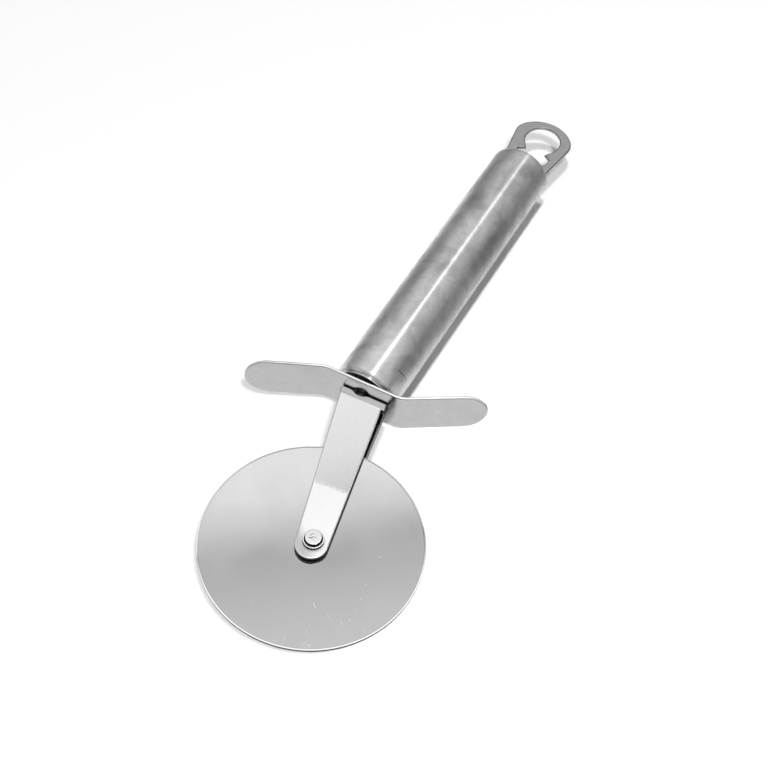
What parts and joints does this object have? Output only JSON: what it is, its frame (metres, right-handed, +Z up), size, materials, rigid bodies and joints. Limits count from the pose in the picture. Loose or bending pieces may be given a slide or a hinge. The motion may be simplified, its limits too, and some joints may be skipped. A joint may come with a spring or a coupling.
{
  "type": "pizza cutter",
  "caption": "Hand pizza cutter: round wheel on a riveted sheet fork, bent strip finger guard, round tube handle and a stamped hanging loop.",
  "frame": {"origin": "middle of the bounding box in X and Y, at the level of the surface that the handle tube touches", "axes": "+Y along the handle from the wheel to the hanging loop, +X to the right of the handle, +Z up, square to the wheel's plane"},
  "size_m": [0.0788, 0.2118, 0.02],
  "materials": {
    "brushed_tube_steel": "lengthwise satin stainless steel, lightly smudged",
    "closure_steel": "dull stainless steel",
    "stamped_loop_steel": "matt stamped stainless sheet",
    "strip_steel": "satin stainless strip",
    "polished_arm_steel": "polished stainless sheet with fine pits",
    "blade_steel": "fine satin stainless sheet with a ground rim",
    "rivet_steel": "peened stainless steel",
    "washer_steel": "plain stainless steel",
    "tang_steel": "plain steel"
  },
  "bodies": {
    "handle": {"handle_tube": "brushed_tube_steel", "front_plug": "closure_steel", "tail_cap": "closure_steel", "hanging_loop": "stamped_loop_steel", "finger_guard": "strip_steel", "wheel_fork": "polished_arm_steel", "axle_rivet": "rivet_steel", "rivet_washer": "washer_steel", "spacer_washer_upper": "washer_steel", "spacer_washer_lower": "washer_steel", "tang_rod": "tang_steel", "tang_washer": "washer_steel", "tang_nut": "tang_steel"},
    "wheel": {"cutting_wheel": "blade_steel"}
  },
  "joints": [
    {"name": "wheel_spin", "type": "hinge", "parent": "handle", "child": "wheel", "pos_m": [0.00762, -0.07412, 0.01], "axis": [0, 0, 1], "continuous": true}
  ]
}
